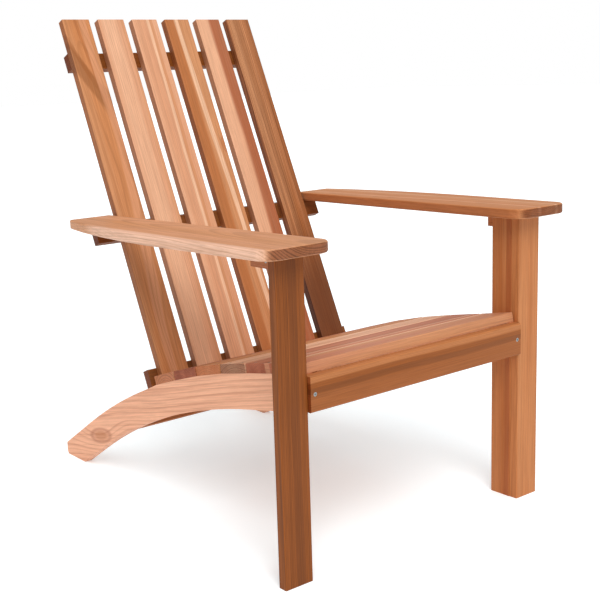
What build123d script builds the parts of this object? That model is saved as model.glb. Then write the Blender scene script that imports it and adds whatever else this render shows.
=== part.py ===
from build123d import *

import os
from math import asin, atan2, cos, degrees, hypot, radians, sin, sqrt, tan

# Adirondack chair. Millimetres, +Z up, the sitter faces -Y, +X to the right of a person
# who looks at the front. The outlines are drawn with Y counted back from the front face of
# the legs. save() then moves each piece so that the origin is the bottom centre of the
# whole chair.

# Boards
BOARD = 19.0             # thickness of the planed boards
RAIL_TALL = 38.0         # face width of the rails behind the back
EASE = 2.0               # rounding of the long edges
SLAT_EASE = 2.5          # rounding of the upper edges of the seat slats

# Front legs, each an L of two boards
LEG_IN = 285.0           # inner edge of the front board, from the chair's middle
LEG_WIDE = 63.6
LEG_OUT = LEG_IN + LEG_WIDE
RETURN_DEEP = 51.0

# Arms
ARM_FRONT = -39.0        # the front end stands out over the leg
ARM_REAR = 688.5
ARM_THICK = 20.5
ARM_UNDER = 607.8        # height of the underside above the leg's front face
ARM_FALL = 0.019         # fall of the arm per unit of length towards the back
ARM_IN_FRONT = 243.0     # inner edge at the front and at the rear
ARM_IN_REAR = 268.0
ARM_OUT_FRONT = 396.0
ARM_OUT_WIDE = 405.0     # outer edge where the arm is widest
ARM_WIDE_AT = 400.0
ARM_OUT_REAR = 366.0
ARM_CORNER = 34.0
ARM_EASE = 4.0
ARM_FRONT_LEAN = 0.02    # slope of the outer edge, out per unit of length, at each end
ARM_REAR_LEAN = -0.25

# Cleats under the arms
CLEAT_WIDE = 24.0
CLEAT_LONG = 79.0
CLEAT_LOW = 578.5
CLEAT_TALL = 28.0        # about; its top follows the arm

# Back, measured along its slope from the floor line of its front face
BACK_FOOT = 390.6        # where the front face of the back would meet the floor
BACK_RAKE = 24.124       # from the vertical
BACK_TOP = 1142.4
SLATS = 6
SLAT_WIDE = 69.0
SLAT_GAP = 22.0
UPPER_RAIL = 1029.0      # lower edge of each rail along the slope
MIDDLE_RAIL = 621.5
LOWER_RAIL = 291.0
MIDDLE_RAIL_HALF = 314.0

# Stringers: straight in front, an arc, straight again down to the foot
STRINGER_OUT = 283.5     # outer face, from the chair's middle
STRINGER_FRONT = 11.3
ARC_Y = -143.0           # centre of the arc
ARC_Z = -1415.0
ARC_R = 1766.0           # centreline
STRINGER_HALF = 35.2     # half of the stringer's width
FRONT_SLOPE = 10.6
TAIL_SLOPE = 32.0
FOOT_REAR = 945.0
FOOT_FLAT_END = 940.0    # the rear corner of the foot is clipped from here
FOOT_CLIP = 7.0

# Seat
SEAT_GAP = 4.0
SEAT_JOINTS = (98.0, 183.0, 267.0, 352.0, 435.0)    # gaps between the slats, at the stringers

# Apron
APRON_HALF = 284.5
APRON_LOW = 320.5
APRON_TALL = 66.5
APRON_FRONT = STRINGER_FRONT - BOARD
APRON_EASE = 3.0

# Rear stretcher between the stringers, square to their slope
STRETCHER_TALL = 62.0
STRETCHER_SLOPE = 26.0

# Flat-head screws and dowels
HEAD_R = 4.0
HEAD_RIM = 0.5           # straight rim above the cone
HEAD_CONE = 2.4
SHANK_R = 2.0
TIP = 4.0
RECESS_DEEP = 1.6
RECESS_LONG = 4.4
RECESS_WIDE = 1.1
SHANK_ROOM = 0.1         # room around the shank and at the tip of each pilot hole
SINK = 0.3               # depth of the head below the wood's surface
APRON_SCREW = 50.0
SEAT_SCREW = 40.0
BACK_SCREW = 32.0
STRINGER_SCREW = 32.0
CLEAT_SCREW = 40.0
ARM_SCREW = 40.0
RAIL_SCREW = 70.0
REAR_ARM_SCREW = 32.0
POCKET_R = 5.0           # pocket that lets the rear arm screw in behind the middle rail
POCKET_TOP = 577.0
POCKET_LONG = 60.0
CUTTER_REACH = 700.0     # half width of the cutter that bevels the middle rail
SCREW_X = STRINGER_OUT - BOARD / 2
SEAT_SCREW_IN = 20.0     # from a seat slat's long edge
CLEAT_SCREW_PLACE = 0.45                # share of the cleat's length
ARM_FRONT_SCREW_PLACES = (0.2, 0.85)    # shares of the cleat's length
ARM_REAR_SCREW_X = 294.0
ARM_REAR_SCREW_Y = 683.5
STRINGER_SCREW_APART = 38.0
STRETCHER_DOWEL_R = 4.0
STRETCHER_DOWEL_LONG = 38.0
STRETCHER_DOWEL_SHIFT = 6.0             # deeper in the stretcher than in the stringer
STRETCHER_DOWEL_PLACES = (0.27, 0.73)   # shares of the stretcher's height
LEG_DOWEL_R = 3.0
LEG_DOWEL_LONG = 30.0
LEG_DOWEL_SHIFT = 2.0    # the dowel lies deeper in the return board
LEG_DOWEL_HEIGHTS = (70.0, 250.0, 500.0)
DOWEL_ROOM = 0.1
DOWEL_END_ROOM = 1.0
DOWEL_CHAMFER = 1.0

CENTRE_Y = (ARM_FRONT + FOOT_REAR) / 2
SIDES = {"left": -1, "right": 1}

rake = radians(BACK_RAKE)
back_half = (SLATS * SLAT_WIDE + (SLATS - 1) * SLAT_GAP) / 2
top_r = ARC_R + STRINGER_HALF
low_r = ARC_R - STRINGER_HALF


def save(node, shape):
    """Move a piece from the drawing frame to the chair's frame and write it."""
    export_step(Pos(0, -CENTRE_Y, 0) * shape, f"parts/{node}.step")


def arc_point(radius, slope):
    """The point (y, z) of a stringer arc where it falls at this slope, in degrees."""
    angle = radians(slope)
    return ARC_Y + radius * sin(angle), ARC_Z + radius * cos(angle)


def arc_height(radius, y):
    """Height of a stringer arc at a distance from the front."""
    return ARC_Z + sqrt(radius**2 - (y - ARC_Y) ** 2)


def back_point(along, behind):
    """The point (y, z) at a distance up the back's slope and behind its front face."""
    return (
        BACK_FOOT + along * sin(rake) + behind * cos(rake),
        along * cos(rake) - behind * sin(rake),
    )


def arm_under(y):
    """Height of the arm's underside."""
    return ARM_UNDER - ARM_FALL * y


def in_side_view(shape_xy, x_low, x_high):
    """Stand a closed outline drawn as (y, z) upright and give it a width along X."""
    face = Plane.YZ * make_face(shape_xy)
    return extrude(Pos(x_low, 0, 0) * face, amount=x_high - x_low)


def on_slope(y, z, slope):
    """Location at (y, z) with its local Y down the slope towards the back, local Z up."""
    return Location((0, y, z), (-slope, 0, 0))


def ease_long(board, axis, radius):
    """Round a board's long edges."""
    return fillet(board.edges().filter_by(axis), radius)


# Fasteners

def screw(length):
    """Flat-head screw with a cross recess, pointing down, its head's face at z = 0."""
    outline = Polyline(
        (0, 0),
        (HEAD_R, 0),
        (HEAD_R, -HEAD_RIM),
        (SHANK_R, -HEAD_RIM - HEAD_CONE),
        (SHANK_R, TIP - length),
        (0, -length),
        close=True,
    )
    body = revolve(Plane.XZ * make_face(outline), axis=Axis.Z)
    recess = Box(RECESS_LONG, RECESS_WIDE, 2 * RECESS_DEEP)
    recess += Box(RECESS_WIDE, RECESS_LONG, 2 * RECESS_DEEP)
    return body - recess


def screw_hole(length):
    """Countersink and pilot hole for a screw, open above its head."""
    shank = SHANK_R + SHANK_ROOM
    cone_end = -HEAD_RIM - HEAD_CONE * (HEAD_R - shank) / (HEAD_R - SHANK_R)
    outline = Polyline(
        (0, 2 * SINK),
        (HEAD_R, 2 * SINK),
        (HEAD_R, -HEAD_RIM),
        (shank, cone_end),
        (shank, -length - SHANK_ROOM),
        (0, -length - SHANK_ROOM),
        close=True,
    )
    return revolve(Plane.XZ * make_face(outline), axis=Axis.Z)


def pointing(x, y, z, direction):
    """Location of a fastener whose head is at a point and which goes in along a direction."""
    sideways = (1, 0, 0) if direction[0] == 0 else (0, 1, 0)
    return Plane(origin=(x, y, z), x_dir=sideways, z_dir=-Vector(*direction)).location


def sunk(x, y, z, direction):
    """The same, with the head sunk a little below the surface."""
    step = Vector(*direction).normalized() * SINK
    return pointing(x + step.X, y + step.Y, z + step.Z, direction)


def mirrored(place):
    """A place given for the right side, and the same place on the left."""
    x, y, z, direction = place
    return [place, (-x, y, z, (-direction[0], direction[1], direction[2]))]


def drill(board, places, length):
    """Cut the holes for the screws at a list of places."""
    for place in places:
        board -= sunk(*place) * screw_hole(length)
    return board


def save_screws(node, places, length):
    """Write one group of equal screws."""
    one = screw(length)
    save(node, Compound([sunk(*place) * one for place in places]))


def dowel_hole(radius, length):
    """Hole along X, centred on a dowel."""
    hole = Cylinder(radius + DOWEL_ROOM, length + 2 * DOWEL_END_ROOM)
    return Rot(0, 90, 0) * hole


# Seat line: the top of the stringers, cut in flats that the seat slats lie on

def seat_line():
    """Corners (y, z) of the flats, from the front to the back's lower rail."""
    run_y, run_z = arc_point(top_r, FRONT_SLOPE)
    front = (STRINGER_FRONT, run_z + (run_y - STRINGER_FRONT) * tan(radians(FRONT_SLOPE)))
    first = SEAT_JOINTS[0]
    corners = [front, (first, run_z + (run_y - first) * tan(radians(FRONT_SLOPE)))]
    corners += [(y, arc_height(top_r, y)) for y in SEAT_JOINTS[1:]]
    corners.append(back_point(LOWER_RAIL, 0))
    return corners


def slat_spans():
    """Start point, width and slope of each seat slat along its own flat."""
    corners = seat_line()
    spans = []
    for number, (start, end) in enumerate(zip(corners, corners[1:])):
        fall = atan2(start[1] - end[1], end[0] - start[0])
        clear_front = 0 if number == 0 else SEAT_GAP / 2
        clear_rear = 0 if number == len(corners) - 2 else SEAT_GAP / 2
        y = start[0] + clear_front * cos(fall)
        z = start[1] - clear_front * sin(fall)
        wide = hypot(end[0] - start[0], end[1] - start[1]) - clear_front - clear_rear
        spans.append((y, z, wide, degrees(fall)))
    return spans


def seat_screw_places(number):
    """Two screws at each end of one seat slat."""
    y, z, wide, slope = slat_spans()[number]
    fall = radians(slope)
    places = []
    for along in (SEAT_SCREW_IN, wide - SEAT_SCREW_IN):
        top_y = y + along * cos(fall) + BOARD * sin(fall)
        top_z = z - along * sin(fall) + BOARD * cos(fall)
        places += mirrored((SCREW_X, top_y, top_z, (0, -sin(fall), -cos(fall))))
    return places


def rail_screw_places():
    """Two long screws down the slope through the lower rail into the stringers."""
    y, z = back_point(LOWER_RAIL + RAIL_TALL, BOARD * 1.5)
    return mirrored((SCREW_X, y, z, (0, -sin(rake), -cos(rake))))


def apron_screw_places():
    """One screw at each end of the apron, into the stringer's front end."""
    return mirrored((SCREW_X, APRON_FRONT, APRON_LOW + APRON_TALL / 2, (0, 1, 0)))


def stringer_screw_places():
    """Two screws through each return board into the stringer."""
    middle = arc_point(ARC_R, FRONT_SLOPE)
    y = BOARD + RETURN_DEEP / 2
    z = middle[1] + (middle[0] - y) * tan(radians(FRONT_SLOPE))
    places = []
    for up in (-STRINGER_SCREW_APART / 2, STRINGER_SCREW_APART / 2):
        places += mirrored((STRINGER_OUT + BOARD, y, z + up, (-1, 0, 0)))
    return places


def back_screw_places(rail):
    """One screw per slat, from behind through a rail."""
    y, z = back_point(rail + RAIL_TALL / 2, 2 * BOARD)
    return [(x, y, z, (0, -cos(rake), sin(rake))) for x in slat_centres()]


def cleat_screw_places():
    """A screw through each cleat into the return board."""
    y = BOARD + CLEAT_LONG * CLEAT_SCREW_PLACE
    z = CLEAT_LOW + CLEAT_TALL / 2
    return mirrored((STRINGER_OUT + BOARD + CLEAT_WIDE, y, z, (-1, 0, 0)))


def arm_front_screw_places():
    """Two screws up through each cleat into the arm."""
    x = STRINGER_OUT + BOARD + CLEAT_WIDE / 2
    places = []
    for along in ARM_FRONT_SCREW_PLACES:
        places += mirrored((x, BOARD + CLEAT_LONG * along, CLEAT_LOW, (0, 0, 1)))
    return places


def arm_rear_screw_places():
    """A screw up from a pocket in the middle rail into each arm."""
    return mirrored((ARM_REAR_SCREW_X, ARM_REAR_SCREW_Y, POCKET_TOP, (0, 0, 1)))


# Boards

def slat_centres():
    """X of the back slats' middles."""
    pitch = SLAT_WIDE + SLAT_GAP
    return [(number - (SLATS - 1) / 2) * pitch for number in range(SLATS)]


def on_back(along, behind):
    """Location on the back: local Y up the slope, local Z out of its front face."""
    y, z = back_point(along, behind)
    return Location((0, y, z), (90 - BACK_RAKE, 0, 0))


def back_slat(x):
    """A flat slat with eased edges, drilled from behind at the three rails."""
    long = BACK_TOP - LOWER_RAIL
    board = Box(SLAT_WIDE, long, BOARD, align=(Align.CENTER, Align.MIN, Align.MAX))
    board = ease_long(board, Axis.Y, EASE)
    board = on_back(LOWER_RAIL, 0) * Pos(x, 0, 0) * board
    places = [
        place
        for rail in (UPPER_RAIL, MIDDLE_RAIL, LOWER_RAIL)
        for place in back_screw_places(rail)
        if place[0] == x
    ]
    return drill(board, places, BACK_SCREW)


def back_rail(rail, half, tall=RAIL_TALL):
    """A rail across the back of the slats."""
    board = Box(2 * half, tall, BOARD, align=(Align.CENTER, Align.MIN, Align.MAX))
    board = on_back(rail, BOARD) * board
    return drill(board, back_screw_places(rail), BACK_SCREW)


def middle_rail():
    """The rail that carries the arms: its top is bevelled to the arms' underside."""
    board = back_rail(MIDDLE_RAIL, MIDDLE_RAIL_HALF, RAIL_TALL + BOARD)
    front = BACK_FOOT
    rear = front + BACK_TOP
    above = in_side_view(
        Polyline(
            (front, arm_under(front)),
            (rear, arm_under(rear)),
            (rear, BACK_TOP),
            (front, BACK_TOP),
            close=True,
        ),
        -CUTTER_REACH,
        CUTTER_REACH,
    )
    board -= above
    pocket = Cylinder(POCKET_R, POCKET_LONG, align=(Align.CENTER, Align.CENTER, Align.MAX))
    for side in SIDES.values():
        board -= Pos(side * ARM_REAR_SCREW_X, ARM_REAR_SCREW_Y, POCKET_TOP) * pocket
    return drill(board, arm_rear_screw_places(), REAR_ARM_SCREW)


def lower_rail():
    """The rail that stands on the stringers."""
    return drill(back_rail(LOWER_RAIL, STRINGER_OUT), rail_screw_places(), RAIL_SCREW)


def stringer(side):
    """A seat bearer that curves down to the floor and ends as the rear foot."""
    flats = seat_line()
    rail_rest = back_point(LOWER_RAIL, 2 * BOARD)
    top_run = arc_point(top_r, TAIL_SLOPE)
    low_run = arc_point(low_r, TAIL_SLOPE)
    front_run = arc_point(low_r, FRONT_SLOPE)
    fall = tan(radians(TAIL_SLOPE))
    foot_top = top_run[1] - (FOOT_REAR - top_run[0]) * fall
    foot_front = low_run[0] + low_run[1] / fall
    front_low = front_run[1] + (front_run[0] - STRINGER_FRONT) * tan(radians(FRONT_SLOPE))
    middle_slope = (degrees(asin((rail_rest[0] - ARC_Y) / top_r)) + TAIL_SLOPE) / 2
    outline = Polyline(*flats, rail_rest)
    outline += ThreePointArc(rail_rest, arc_point(top_r, middle_slope), top_run)
    outline += Polyline(
        top_run,
        (FOOT_REAR, foot_top),
        (FOOT_REAR, FOOT_CLIP),
        (FOOT_FLAT_END, 0),
        (foot_front, 0),
        low_run,
    )
    low_middle = arc_point(low_r, (FRONT_SLOPE + TAIL_SLOPE) / 2)
    outline += ThreePointArc(low_run, low_middle, front_run)
    outline += Polyline(front_run, (STRINGER_FRONT, front_low), flats[0])
    x = side * SCREW_X - BOARD / 2
    board = in_side_view(outline, x, x + BOARD)
    seat_places = [place for number in range(len(flats) - 1) for place in seat_screw_places(number)]
    for places, length in (
        (seat_places, SEAT_SCREW),
        (rail_screw_places(), RAIL_SCREW),
        (apron_screw_places(), APRON_SCREW),
        (stringer_screw_places(), STRINGER_SCREW),
    ):
        board = drill(board, [place for place in places if place[0] * side > 0], length)
    return cut_stretcher_dowels(board)


def stretcher_frame():
    """Location at the stretcher's front lower edge: local Y down the slope, local Z up."""
    return on_slope(*arc_point(low_r, STRETCHER_SLOPE), STRETCHER_SLOPE)


def stretcher_dowel_places():
    """Places of the four dowels, in the chair's frame."""
    reach = STRINGER_OUT - BOARD
    places = []
    for side in SIDES.values():
        for up in STRETCHER_DOWEL_PLACES:
            offset = Pos(side * (reach - STRETCHER_DOWEL_SHIFT), BOARD / 2, STRETCHER_TALL * up)
            places.append(stretcher_frame() * offset)
    return places


def cut_stretcher_dowels(board):
    """Cut the holes of the stretcher's dowels."""
    for place in stretcher_dowel_places():
        board -= place * dowel_hole(STRETCHER_DOWEL_R, STRETCHER_DOWEL_LONG)
    return board


def rear_stretcher():
    """Board on edge between the stringers."""
    wide = 2 * (STRINGER_OUT - BOARD)
    board = Box(wide, BOARD, STRETCHER_TALL, align=(Align.CENTER, Align.MIN, Align.MIN))
    board = ease_long(board, Axis.X, EASE)
    return cut_stretcher_dowels(stretcher_frame() * board)


def dowel(radius, length):
    """Dowel along X with chamfered ends."""
    peg = Cylinder(radius, length)
    peg = chamfer(peg.edges().filter_by(GeomType.CIRCLE), DOWEL_CHAMFER)
    return Rot(0, 90, 0) * peg


def seat_slat(number):
    """A slat across the stringers, its two upper edges eased."""
    y, z, wide, slope = slat_spans()[number]
    board = Box(2 * STRINGER_OUT, wide, BOARD, align=(Align.CENTER, Align.MIN, Align.MIN))
    upper = board.edges().filter_by(Axis.X).group_by(Axis.Z)[-1]
    board = on_slope(y, z, slope) * fillet(upper, SLAT_EASE)
    return drill(board, seat_screw_places(number), SEAT_SCREW)


def front_apron():
    """The board across the stringers' front ends."""
    middle = Pos(0, APRON_FRONT + BOARD / 2, APRON_LOW + APRON_TALL / 2)
    board = Box(2 * APRON_HALF, BOARD, APRON_TALL)
    front_edges = board.edges().filter_by(Axis.X).group_by(Axis.Y)[0]
    board = middle * fillet(front_edges, APRON_EASE)
    return drill(board, apron_screw_places(), APRON_SCREW)


def standing(x_low, x_high, y_low, y_high, z_low):
    """Outline and board that reaches from a height up to the arm's underside."""
    outline = Polyline(
        (y_low, z_low),
        (y_high, z_low),
        (y_high, arm_under(y_high)),
        (y_low, arm_under(y_low)),
        close=True,
    )
    return in_side_view(outline, min(x_low, x_high), max(x_low, x_high))


def leg_dowel_places(side):
    """Three dowels along Y across the joint of the two boards of a leg."""
    x = side * (LEG_IN + STRINGER_OUT + BOARD) / 2
    turn = Rot(0, 0, 90)
    return [Pos(x, BOARD + LEG_DOWEL_SHIFT, z) * turn for z in LEG_DOWEL_HEIGHTS]


def cut_leg_dowels(board, side):
    """Cut the holes of a leg's dowels."""
    for place in leg_dowel_places(side):
        board -= place * dowel_hole(LEG_DOWEL_R, LEG_DOWEL_LONG)
    return board


def front_leg(side):
    """The leg's front board."""
    board = standing(side * LEG_IN, side * LEG_OUT, 0, BOARD, 0)
    upright = board.edges().filter_by(Axis.Z).group_by(Axis.Y)[0]
    return cut_leg_dowels(fillet(upright, EASE), side)


def leg_return(side):
    """The board behind the front board, against the stringer."""
    inner = side * STRINGER_OUT
    outer = side * (STRINGER_OUT + BOARD)
    board = standing(inner, outer, BOARD, BOARD + RETURN_DEEP, 0)
    rear = board.edges().filter_by(Axis.Z).group_by(Axis.Y)[-1]
    board = cut_leg_dowels(fillet(rear, EASE), side)
    board = drill(board, stringer_screw_places(), STRINGER_SCREW)
    return drill(board, cleat_screw_places(), CLEAT_SCREW)


def arm_cleat(side):
    """Block under the arm, beside the return board."""
    inner = side * (STRINGER_OUT + BOARD)
    outer = side * (STRINGER_OUT + BOARD + CLEAT_WIDE)
    board = standing(inner, outer, BOARD, BOARD + CLEAT_LONG, CLEAT_LOW)
    board = drill(board, cleat_screw_places(), CLEAT_SCREW)
    return drill(board, arm_front_screw_places(), ARM_SCREW)


def arm(side):
    """The arm board: straight inner edge, outer edge that curves in towards the rear."""
    start = (ARM_OUT_FRONT, ARM_FRONT)
    widest = (ARM_OUT_WIDE, ARM_WIDE_AT)
    end = (ARM_OUT_REAR, ARM_REAR)
    leans = ((ARM_FRONT_LEAN, 1), (ARM_REAR_LEAN, 1))
    outer = Spline(start, widest, end, tangents=leans)
    rest = Polyline(end, (ARM_IN_REAR, ARM_REAR), (ARM_IN_FRONT, ARM_FRONT), start)
    outline = make_face(outer + rest)
    front_corners = outline.vertices().group_by(Axis.Y)[0]
    board = extrude(fillet(front_corners, ARM_CORNER), amount=ARM_THICK)
    around = board.edges().group_by(Axis.Z)
    board = fillet(around[0] + around[-1], ARM_EASE)
    if side < 0:
        board = mirror(board, about=Plane.YZ)
    tilt = Location((0, 0, ARM_UNDER), (-degrees(atan2(ARM_FALL, 1)), 0, 0))
    board = drill(tilt * board, arm_front_screw_places(), ARM_SCREW)
    return drill(board, arm_rear_screw_places(), REAR_ARM_SCREW)


# Build

def build():
    """Write every piece of the chair."""
    os.makedirs("parts", exist_ok=True)
    for number, x in enumerate(slat_centres(), start=1):
        save(f"back_slat_{number}", back_slat(x))
    save("back_rail_upper", back_rail(UPPER_RAIL, back_half))
    save("back_rail_middle", middle_rail())
    save("back_rail_lower", lower_rail())
    for number in range(SLATS):
        save(f"seat_slat_{number + 1}", seat_slat(number))
    for name, side in SIDES.items():
        save(f"stringer_{name}", stringer(side))
        save(f"front_leg_{name}", front_leg(side))
        save(f"leg_return_{name}", leg_return(side))
        save(f"arm_cleat_{name}", arm_cleat(side))
        save(f"arm_{name}", arm(side))
    save("front_apron", front_apron())
    save("rear_stretcher", rear_stretcher())

    seat_places = [place for number in range(SLATS) for place in seat_screw_places(number)]
    back_places = [
        place
        for rail in (UPPER_RAIL, MIDDLE_RAIL, LOWER_RAIL)
        for place in back_screw_places(rail)
    ]
    save_screws("apron_screws", apron_screw_places(), APRON_SCREW)
    save_screws("seat_slat_screws", seat_places, SEAT_SCREW)
    save_screws("back_slat_screws", back_places, BACK_SCREW)
    save_screws("stringer_screws", stringer_screw_places(), STRINGER_SCREW)
    save_screws("cleat_screws", cleat_screw_places(), CLEAT_SCREW)
    save_screws("arm_front_screws", arm_front_screw_places(), ARM_SCREW)
    save_screws("arm_rear_screws", arm_rear_screw_places(), REAR_ARM_SCREW)
    save_screws("rail_screws", rail_screw_places(), RAIL_SCREW)

    leg_peg = dowel(LEG_DOWEL_R, LEG_DOWEL_LONG)
    leg_places = leg_dowel_places(-1) + leg_dowel_places(1)
    save("leg_dowels", Compound([place * leg_peg for place in leg_places]))
    peg = dowel(STRETCHER_DOWEL_R, STRETCHER_DOWEL_LONG)
    save("stretcher_dowels", Compound([place * peg for place in stretcher_dowel_places()]))


build()
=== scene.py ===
import math

import bpy
from mathutils import Matrix, Vector


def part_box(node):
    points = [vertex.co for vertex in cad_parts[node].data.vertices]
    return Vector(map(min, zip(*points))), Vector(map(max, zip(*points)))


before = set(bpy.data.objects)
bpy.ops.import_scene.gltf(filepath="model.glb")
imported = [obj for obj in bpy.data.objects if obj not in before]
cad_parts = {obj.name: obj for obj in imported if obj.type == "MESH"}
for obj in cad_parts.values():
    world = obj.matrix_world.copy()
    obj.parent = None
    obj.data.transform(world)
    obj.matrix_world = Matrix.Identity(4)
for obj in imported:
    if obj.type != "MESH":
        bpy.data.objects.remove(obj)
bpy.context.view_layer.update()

# Adirondack chair in western red cedar. Every board keeps its CAD solid and gets a solid
# wood material of its own: growth rings around a pith line, long colour bands, fine fibre,
# sapwood stripes, knots and end grain, all worked out in the board's own directions.
# Lengths are in metres and directions are in the chair's frame.

RAKE = math.radians(24.124)             # lean of the back from the vertical
STRINGER_FALL = math.radians(14.0)      # slope of the stringers' grain
SEAT_FALL_FRONT = math.radians(10.6)    # slope of the first seat slat
SEAT_FALL_STEP = math.radians(1.7)      # growth of the slope from slat to slat

X = Vector((1, 0, 0))
Y = Vector((0, 1, 0))
Z = Vector((0, 0, 1))
UP_BACK = Vector((0, math.sin(RAKE), math.cos(RAKE)))
DOWN_STRINGER = Vector((0, math.cos(STRINGER_FALL), -math.sin(STRINGER_FALL)))
UP_STRINGER = Vector((0, math.sin(STRINGER_FALL), math.cos(STRINGER_FALL)))

LIGHT_LEVEL = 1.1                       # light on a front face, against white paper

# Grain that all boards share. Noise scales are per metre, along the board and in its section.
SWAY_SCALES = (2.4, 9.0)
SWAY_THROUGH_SCALES = (2.0, 9.0)
BROAD_SCALES = (0.9, 26.0)
STREAK_SCALES = (2.5, 170.0)
FIBRE_SCALES = (10.0, 420.0)
PORE_SCALE = 900.0
RING_UNEVEN_SCALE = 0.45                # per ring
RING_UNEVEN = 2.2                       # rings gained and lost by uneven growth
TILT_THROUGH = 0.6                      # share of the pith's tilt that goes into the board
LATE_RISE = 0.45                        # place in a ring where the dark latewood begins
LATE_PEAK = 0.92
DEEP_SHADE = 0.62                       # brightness of latewood beside the board's deep tone
BAND_CORE = 0.6                         # share of a band's half width with its full colour

# Knots
KNOT_STRETCH = 0.36                     # breadth of a knot over its length
KNOT_PUSH = 1.9                         # how far it pushes the rings aside, and over what
KNOT_REACH = 4.2                        # distance, both in knot radii
KNOT_CORE = 0.45
KNOT_RIM = 0.35

# Faces: where the cosine between a face's normal and a direction counts as facing it
FACING = (0.6, 0.9)
END_WARMTH = (1.0, 0.72, 0.56)          # tint of end grain
SIDE_SHADE_TINT = (1.0, 0.82, 0.7)          # tint of the painted shade on the narrow faces
SLAT_SIDE_SHADE = 0.6                         # brightness of the painted shade on the back slats' narrow faces, in the gaps between slats

FLOOR_REACH = 30.0
FLOOR_GLOW = 0.31
ROOM_LIGHT = 0.45                       # the white room as it lights, against as it looks


def linear(red, green, blue):
    """An 8-bit sRGB colour as scene-linear RGBA."""
    def channel(value):
        value /= 255
        return value / 12.92 if value <= 0.04045 else ((value + 0.055) / 1.055) ** 2.4
    return channel(red), channel(green), channel(blue), 1.0


def wood(red, green, blue):
    """The colour of bare wood that looks like this 8-bit sRGB colour in the light."""
    return tuple(channel / LIGHT_LEVEL for channel in linear(red, green, blue)[:3]) + (1.0,)


# Colours of planed cedar
CREAM = wood(240, 196, 162)
BLUSH = wood(238, 175, 140)
PALE = wood(236, 190, 164)
PEACH = wood(226, 170, 134)
SALMON = wood(214, 152, 114)
ROSE = wood(198, 128, 98)
TAN = wood(204, 142, 98)
HONEY = wood(196, 126, 76)
GOLD = wood(176, 104, 56)
AMBER = wood(176, 98, 46)
SIENNA = wood(162, 94, 48)
RUSSET = wood(162, 90, 56)
RED = wood(156, 76, 36)
BROWN = wood(132, 76, 36)
OCHRE = wood(146, 78, 26)
EARTH = wood(128, 66, 14)
UMBER = wood(104, 56, 28)
LOAM = wood(88, 44, 14)


class Graph:
    """Short calls for building one material's node tree."""

    def __init__(self, name):
        self.material = bpy.data.materials.new(name)
        self.material.use_nodes = True
        self.nodes = self.material.node_tree.nodes
        self.links = self.material.node_tree.links
        self.shader = self.nodes["Principled BSDF"]

    def put(self, socket, value):
        """Link a socket to another node's output, or set it to a constant."""
        if isinstance(value, bpy.types.NodeSocket):
            self.links.new(value, socket)
        else:
            socket.default_value = value

    def math(self, operation, *values):
        node = self.nodes.new("ShaderNodeMath")
        node.operation = operation
        for socket, value in zip(node.inputs, values):
            self.put(socket, value)
        return node.outputs[0]

    def dot(self, vector, direction):
        node = self.nodes.new("ShaderNodeVectorMath")
        node.operation = "DOT_PRODUCT"
        self.put(node.inputs[0], vector)
        node.inputs[1].default_value = direction
        return node.outputs["Value"]

    def vector(self, x, y, z):
        node = self.nodes.new("ShaderNodeCombineXYZ")
        for socket, value in zip(node.inputs, (x, y, z)):
            self.put(socket, value)
        return node.outputs[0]

    def noise(self, vector, detail=2.0, roughness=0.5):
        node = self.nodes.new("ShaderNodeTexNoise")
        node.inputs["Scale"].default_value = 1.0    # the vector is scaled already
        node.inputs["Detail"].default_value = detail
        node.inputs["Roughness"].default_value = roughness
        self.put(node.inputs["Vector"], vector)
        return node.outputs["Fac"]

    def rise(self, value, low, high):
        """Smooth step from 0 at low to 1 at high."""
        node = self.nodes.new("ShaderNodeMapRange")
        node.interpolation_type = "SMOOTHSTEP"
        self.put(node.inputs["Value"], value)
        node.inputs["From Min"].default_value = low
        node.inputs["From Max"].default_value = high
        return node.outputs["Result"]

    def bell(self, value, width):
        """1 where the value is 0, and smoothly down to 0 at the width on each side."""
        return self.rise(self.math("ABSOLUTE", value), width, 0.0)

    def mix(self, factor, first, second, blend="MIX"):
        """Mix two colours. Inputs 6 and 7 and output 2 are the node's colour sockets."""
        node = self.nodes.new("ShaderNodeMix")
        node.data_type = "RGBA"
        node.blend_type = blend
        node.clamp_factor = True
        self.put(node.inputs["Factor"], factor)
        self.put(node.inputs[6], first)
        self.put(node.inputs[7], second)
        return node.outputs[2]


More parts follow.
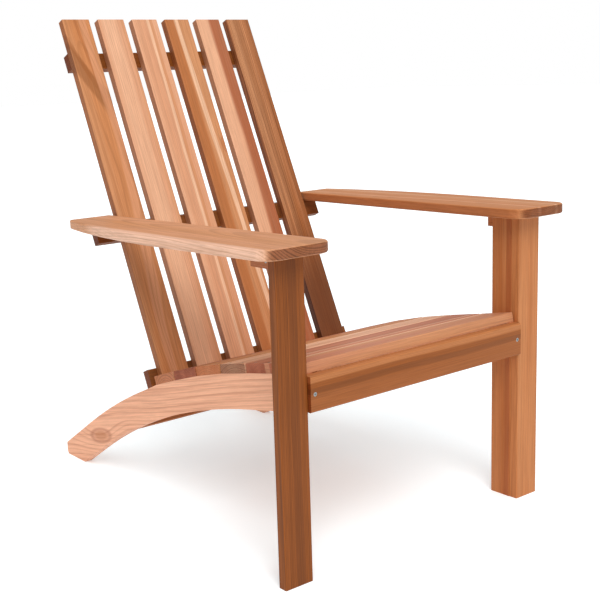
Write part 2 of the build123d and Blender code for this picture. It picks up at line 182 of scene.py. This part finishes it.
def cedar(name, centre, along, across, tones, seed, ring=0.0032, pith=(0.0, -0.09), tilt=0.0,
          contrast=0.5, bands=(), knots=(), wobble=0.008, late=None, shade_fade=None, end=0.72,
          side=1.0):
    """Solid cedar for one board.

    along and across are unit vectors. tones are the pale and the deep colour of the long
    bands. pith is the log's centre line in the board's section, across and through it, and
    tilt is its slope along the board, which opens the rings into arches. A band is
    (place across, half width, colour, strength, drift along). A knot is (along, across,
    radius). A fade is (start along, end along, colour, strength), painted shade that darkens
    the board along its length. end and side are the brightness of the end grain and of the
    narrow faces; side below 1 paints shade on the narrow faces.
    """
    g = Graph(name)
    through = along.cross(across)
    place = g.nodes.new("ShaderNodeTexCoord").outputs["Object"]
    u = g.math("SUBTRACT", g.dot(place, along), centre.dot(along))
    v = g.math("SUBTRACT", g.dot(place, across), centre.dot(across))
    w = g.math("SUBTRACT", g.dot(place, through), centre.dot(through))

    def stretched(scales, shift=0.0):
        """Noise coordinates, long in the grain's direction and different for each seed."""
        along_scale, section_scale = scales
        return g.vector(
            g.math("MULTIPLY_ADD", u, along_scale, seed * 7.3 + shift),
            g.math("MULTIPLY_ADD", v, section_scale, seed * 3.1 + shift),
            g.math("MULTIPLY_ADD", w, section_scale, shift),
        )

    sway = g.math("SUBTRACT", g.noise(stretched(SWAY_SCALES), 1.0), 0.5)
    sway_through = g.math("SUBTRACT", g.noise(stretched(SWAY_THROUGH_SCALES, 11.0), 1.0), 0.5)
    v_bent = g.math("MULTIPLY_ADD", sway, 2 * wobble, v)
    w_bent = g.math("MULTIPLY_ADD", sway_through, 2 * wobble, w)

    v_pith = g.math("SUBTRACT", g.math("MULTIPLY_ADD", u, tilt, v_bent), pith[0])
    w_pith = g.math("SUBTRACT", g.math("MULTIPLY_ADD", u, tilt * TILT_THROUGH, w_bent), pith[1])
    squares = g.math("ADD", g.math("MULTIPLY", v_pith, v_pith), g.math("MULTIPLY", w_pith, w_pith))
    radius = g.math("SQRT", squares)

    knot_distances = []
    for knot_u, knot_v, size in knots:
        knot_along = g.math("MULTIPLY", g.math("SUBTRACT", u, knot_u), KNOT_STRETCH)
        knot_across = g.math("SUBTRACT", v, knot_v)
        apart = g.math("SQRT", g.math("ADD", g.math("MULTIPLY", knot_along, knot_along),
                                      g.math("MULTIPLY", knot_across, knot_across)))
        push = g.bell(apart, KNOT_REACH * size)
        radius = g.math("MULTIPLY_ADD", push, KNOT_PUSH * size, radius)
        knot_distances.append(apart)

    count = g.math("DIVIDE", radius, ring)
    uneven = g.noise(g.vector(g.math("MULTIPLY", count, RING_UNEVEN_SCALE), seed, 0.0), 1.0)
    count = g.math("MULTIPLY_ADD", uneven, RING_UNEVEN, count)
    phase = g.math("FRACT", count)
    darker = g.rise(phase, LATE_RISE, LATE_PEAK)
    latewood = g.math("MULTIPLY", darker, g.rise(phase, 1.0, LATE_PEAK))
    ring_depth = g.math("MULTIPLY_ADD", uneven, 0.9, 0.35)
    latewood = g.math("MULTIPLY", latewood, ring_depth)

    broad = g.noise(stretched(BROAD_SCALES, 3.0), 3.0, 0.55)
    streak = g.noise(stretched(STREAK_SCALES, 5.0), 4.0, 0.7)
    fibre = g.noise(stretched(FIBRE_SCALES, 9.0), 4.0, 0.8)

    colour = g.mix(g.rise(broad, 0.32, 0.68), tones[0], tones[1])
    for where, half, tone, strength, drift in bands:
        line = g.math("SUBTRACT", g.math("MULTIPLY_ADD", u, drift, v_bent), where)
        inside = g.rise(g.math("ABSOLUTE", line), half, BAND_CORE * half)
        colour = g.mix(g.math("MULTIPLY", inside, strength), colour, tone)
    # Painted shade: darkens the board towards one end, where shade falls on it.
    if shade_fade:
        start, stop, tone, strength = shade_fade
        colour = g.mix(g.math("MULTIPLY", g.rise(u, start, stop), strength), colour, tone)
    deep = late or tuple(channel * DEEP_SHADE for channel in tones[1][:3]) + (1.0,)
    colour = g.mix(g.math("MULTIPLY", latewood, contrast), colour, deep)
    streaks = g.math("MULTIPLY", g.rise(streak, 0.45, 0.68), 0.4 * contrast + 0.14)
    colour = g.mix(streaks, colour, deep)
    tint = g.math("MULTIPLY_ADD", fibre, 0.9, 0.55)
    colour = g.mix(1.0, colour, g.vector(tint, tint, tint), "MULTIPLY")

    for apart, (_, _, size) in zip(knot_distances, knots):
        heart = g.rise(apart, size, KNOT_CORE * size)
        rim = g.bell(g.math("SUBTRACT", apart, size), KNOT_RIM * size)
        colour = g.mix(g.math("MULTIPLY", heart, 0.6), colour, GOLD)
        colour = g.mix(g.math("MULTIPLY", rim, 0.5), colour, RUSSET)

    normal = g.nodes.new("ShaderNodeNewGeometry").outputs["Normal"]
    end_face = g.rise(g.math("ABSOLUTE", g.dot(normal, along)), *FACING)
    section = g.vector(g.math("MULTIPLY", v, PORE_SCALE), g.math("MULTIPLY", w, PORE_SCALE), seed)
    pores = g.math("MULTIPLY_ADD", g.noise(section, 2.0), 0.3, end - 0.15)
    end_tint = g.math("MULTIPLY_ADD", latewood, -0.22, pores)
    warm_tint = g.vector(*(g.math("MULTIPLY", end_tint, share) for share in END_WARMTH))
    end_colour = g.mix(1.0, colour, warm_tint, "MULTIPLY")
    # Painted shade: the narrow faces are darkened, standing in for the shade in the gaps between
    # boards and on faces turned from the light.
    if side < 1:
        side_shade_mask = g.rise(g.math("ABSOLUTE", g.dot(normal, across)), *FACING)
        side_shade_factor = tuple(side * share for share in SIDE_SHADE_TINT) + (1.0,)
        colour = g.mix(side_shade_mask, colour, g.mix(1.0, colour, side_shade_factor, "MULTIPLY"))
    colour = g.mix(end_face, colour, end_colour)

    height = g.math("ADD", g.math("MULTIPLY", fibre, 0.6), g.math("MULTIPLY", latewood, 0.4))
    bump = g.nodes.new("ShaderNodeBump")
    bump.inputs["Strength"].default_value = 0.35
    bump.inputs["Distance"].default_value = 0.0002
    g.put(bump.inputs["Height"], height)
    g.put(g.shader.inputs["Normal"], bump.outputs["Normal"])
    g.put(g.shader.inputs["Base Color"], colour)
    g.put(g.shader.inputs["Roughness"], g.math("MULTIPLY_ADD", streak, 0.16, 0.46))
    g.shader.inputs["Specular IOR Level"].default_value = 0.2
    return g.material


def screw_steel():
    """Satin steel with fine uneven wear."""
    g = Graph("screw_steel")
    place = g.nodes.new("ShaderNodeTexCoord").outputs["Object"]
    scaled = g.nodes.new("ShaderNodeVectorMath")
    scaled.operation = "SCALE"
    scaled.inputs["Scale"].default_value = 700.0
    g.put(scaled.inputs[0], place)
    wear = g.noise(scaled.outputs[0], 3.0)
    g.put(g.shader.inputs["Base Color"], g.mix(wear, linear(120, 122, 122), linear(190, 192, 190)))
    g.put(g.shader.inputs["Roughness"], g.math("MULTIPLY_ADD", wear, 0.3, 0.25))
    g.shader.inputs["Metallic"].default_value = 1.0
    return g.material


def middle(node):
    """Centre of a node's box."""
    low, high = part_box(node)
    return (Vector(low) + Vector(high)) / 2


def dress(node, material):
    """Give a CAD node its material."""
    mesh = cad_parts[node].data
    mesh.materials.clear()
    mesh.materials.append(material)


def board(node, along, across, tones, seed, **grain):
    """One board in its own cedar."""
    dress(node, cedar(node, middle(node), along, across, tones, seed, **grain))


def back_slats():
    """Six boards, grain up the slope: the middle ones pale, the last one with painted shade low
    down, all with painted shade on their narrow faces.
    """
    looks = (
        dict(tones=(TAN, HONEY), pith=(0.02, -0.05), tilt=0.05, ring=0.006, contrast=0.4,
             wobble=0.025,
             bands=((0.160, 0.030, BROWN, 0.55, 0.60), (0.120, 0.010, OCHRE, 0.4, 0.42),
                    (0.030, 0.006, GOLD, 0.6, 0.05), (0.012, 0.012, SALMON, 0.6, -0.04))),
        dict(tones=(PEACH, SALMON), pith=(0.10, -0.10), contrast=0.3,
             bands=((-0.008, 0.022, CREAM, 0.3, 0.0), (0.034, 0.014, TAN, 0.6, 0.0))),
        dict(tones=(PEACH, SALMON), pith=(-0.12, -0.08), contrast=0.3,
             bands=((0.006, 0.005, CREAM, 0.7, 0.0), (0.014, 0.005, HONEY, 0.5, 0.0))),
        dict(tones=(TAN, HONEY), pith=(0.15, -0.06), contrast=0.4,
             bands=((0.012, 0.008, CREAM, 0.8, 0.04), (-0.022, 0.016, GOLD, 0.8, 0.0)),
             knots=((0.10, 0.030, 0.006),)),
        dict(tones=(PEACH, SALMON), pith=(-0.15, -0.05), contrast=0.3,
             bands=((0.024, 0.028, RED, 0.85, 0.0),)),
        dict(tones=(TAN, GOLD), pith=(0.12, -0.05), contrast=0.95, late=UMBER,
             bands=((0.000, 0.010, BROWN, 0.4, 0.02), (0.030, 0.010, BROWN, 0.4, 0.0)),
             # painted shade: the slat darkens towards its lower end, which sits in shadow
             shade_fade=(-0.06, -0.30, UMBER, 0.85)),
    )
    for number, look in enumerate(looks, start=1):
        board(f"back_slat_{number}", UP_BACK, X, seed=number, side=SLAT_SIDE_SHADE, **look)


def seat_slats():
    """Six boards, grain across the chair."""
    looks = (
        dict(tones=(TAN, ROSE), bands=((0.035, 0.008, CREAM, 0.7, 0.0),)),
        dict(tones=(RUSSET, ROSE), end=0.8, bands=((-0.025, 0.008, CREAM, 0.5, 0.0),)),
        dict(tones=(CREAM, PEACH), end=0.45, late=RUSSET),
        dict(tones=(TAN, HONEY), end=0.85),
        dict(tones=(ROSE, RUSSET), end=0.75),
        dict(tones=(TAN, SALMON), end=0.75, pith=(0.0, -0.03), ring=0.007, contrast=0.5),
    )
    for number, look in enumerate(looks, start=1):
        fall = SEAT_FALL_FRONT + (number - 1) * SEAT_FALL_STEP
        down = Vector((0, math.cos(fall), -math.sin(fall)))
        look.setdefault("contrast", 0.3)
        look.setdefault("pith", (0.02 * number - 0.07, -0.07))
        board(f"seat_slat_{number}", X, down, seed=10 + number, **look)


def frame_boards():
    """Legs, arms, stringers, apron, rails, cleats and the stretcher."""
    board("front_leg_left", Z, X, (OCHRE, EARTH), 21, pith=(0.2, -0.05), contrast=0.6, late=LOAM,
          bands=((0.004, 0.012, LOAM, 0.35, 0.0),))
    board("front_leg_right", Z, X, (HONEY, AMBER), 22, pith=(0.25, -0.05), contrast=0.3)
    board("leg_return_left", Z, Y, (OCHRE, AMBER), 23, pith=(0.2, 0.05))
    # The band next to the front board is partly the wood's red-brown and partly painted shade
    # along the joint.
    board("leg_return_right", Z, Y, (AMBER, HONEY), 24, pith=(0.2, 0.05), contrast=0.3,
          bands=((-0.018, 0.008, RED, 0.6, 0.0),))
    board("arm_left", Y, X, (SALMON, TAN), 25, pith=(0.03, -0.12), tilt=0.03, ring=0.005,
          contrast=0.5, bands=((-0.092, 0.034, PALE, 0.85, 0.0),), end=0.45)
    # The right arm's narrow faces get painted shade (side=0.8).
    board("arm_right", Y, X, (TAN, HONEY), 26, pith=(-0.03, -0.12), tilt=0.02, contrast=0.35,
          bands=((-0.022, 0.006, PEACH, 0.6, 0.0), (0.030, 0.004, CREAM, 0.5, 0.0)),
          end=0.45, side=0.8)
    for name, seed in (("left", 27), ("right", 28)):
        board(f"stringer_{name}", DOWN_STRINGER, UP_STRINGER, (BLUSH, BLUSH), seed, ring=0.013,
              pith=(-0.12, -0.03), contrast=0.38, late=RUSSET, wobble=0.012,
              knots=((0.308, -0.032, 0.016),))
        board(f"arm_cleat_{name}", Y, X, (HONEY, RUSSET), seed + 10)
    board("front_apron", X, Z, (OCHRE, SIENNA), 31, pith=(0.15, -0.05), contrast=0.4,
          bands=((0.006, 0.007, LOAM, 0.38, 0.0), (0.030, 0.010, HONEY, 0.7, 0.0)))
    board("rear_stretcher", X, UP_STRINGER, (HONEY, RUSSET), 32)
    # The back rails' dark tones are partly the wood's own and partly painted shade, for their
    # place behind the back slats.
    board("back_rail_upper", X, UP_BACK, (BROWN, EARTH), 33)
    board("back_rail_middle", X, UP_BACK, (BROWN, EARTH), 34)
    board("back_rail_lower", X, UP_BACK, (OCHRE, BROWN), 35)


def dowels():
    """Hidden pegs, grain along their length."""
    board("leg_dowels", Y, X, (CREAM, TAN), 41)
    board("stretcher_dowels", X, Y, (CREAM, TAN), 42)


def screws():
    """All screws share one steel."""
    steel = screw_steel()
    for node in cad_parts:
        if node.endswith("_screws"):
            dress(node, steel)


def floor():
    """Large pale floor that glows a little, like a light table."""
    mesh = bpy.data.meshes.new("floor")
    corners = ((-1, -1, 0), (1, -1, 0), (1, 1, 0), (-1, 1, 0))
    mesh.from_pydata([Vector(corner) * FLOOR_REACH for corner in corners], [], [(0, 1, 2, 3)])
    piece = bpy.data.objects.new("floor", mesh)
    bpy.context.scene.collection.objects.link(piece)
    g = Graph("floor_paper")
    place = g.nodes.new("ShaderNodeTexCoord").outputs["Object"]
    paper = g.mix(g.noise(place), linear(232, 239, 241), linear(237, 243, 245))
    g.put(g.shader.inputs["Base Color"], paper)
    g.shader.inputs["Roughness"].default_value = 0.9
    g.shader.inputs["Specular IOR Level"].default_value = 0.1
    g.shader.inputs["Emission Color"].default_value = (0.94, 1.0, 1.03, 1.0)
    g.shader.inputs["Emission Strength"].default_value = FLOOR_GLOW
    mesh.materials.append(g.material)


def soft_sun(name, towards, spread, strength):
    """Broad even light from one direction, with soft shadows. spread is in degrees."""
    data = bpy.data.lights.new(name, "SUN")
    data.angle = math.radians(spread)
    data.energy = strength
    lamp = bpy.data.objects.new(name, data)
    lamp.rotation_euler = Vector(towards).to_track_quat("Z", "Y").to_euler()
    bpy.context.scene.collection.objects.link(lamp)


def light():
    """A white room: paper-white to look at, with a soft key from the front left and above."""
    scene = bpy.context.scene
    scene.view_settings.view_transform = "Standard"
    world = bpy.data.worlds.new("studio")
    world.use_nodes = True
    tree = world.node_tree
    background = tree.nodes["Background"]
    background.inputs["Color"].default_value = (1, 1, 1, 1)
    seen = tree.nodes.new("ShaderNodeLightPath").outputs["Is Camera Ray"]
    strength = tree.nodes.new("ShaderNodeMapRange")
    strength.inputs["To Min"].default_value = ROOM_LIGHT
    strength.inputs["To Max"].default_value = 1.0
    tree.links.new(seen, strength.inputs["Value"])
    tree.links.new(strength.outputs["Result"], background.inputs["Strength"])
    scene.world = world
    soft_sun("key", (-0.38, -0.62, 0.72), 35, 2.1)
    soft_sun("top", (0.15, 0.1, 1.0), 90, 0.9)


def camera():
    """Eye level of a standing photographer, to the front left, with a slight roll."""
    place = Vector((-1.4765, -1.8986, 0.9195))
    azimuth = math.radians(38.334)
    elevation = math.radians(-11.602)
    roll = math.radians(-1.931)
    forward = Vector((math.sin(azimuth) * math.cos(elevation),
                      math.cos(azimuth) * math.cos(elevation), math.sin(elevation)))
    level = Vector((math.cos(azimuth), -math.sin(azimuth), 0))
    upward = level.cross(forward)
    right = level * math.cos(roll) + upward * math.sin(roll)
    top = upward * math.cos(roll) - level * math.sin(roll)
    turn = Matrix((right, top, -forward)).transposed().to_4x4()
    data = bpy.data.cameras.new("camera")
    data.sensor_width = 36.0
    data.lens = 66.28
    data.shift_x = 0.0285
    data.shift_y = -0.0085
    piece = bpy.data.objects.new("camera", data)
    piece.matrix_world = Matrix.Translation(place) @ turn
    bpy.context.scene.collection.objects.link(piece)
    bpy.context.scene.camera = piece


back_slats()
seat_slats()
frame_boards()
dowels()
screws()
floor()
light()
camera()
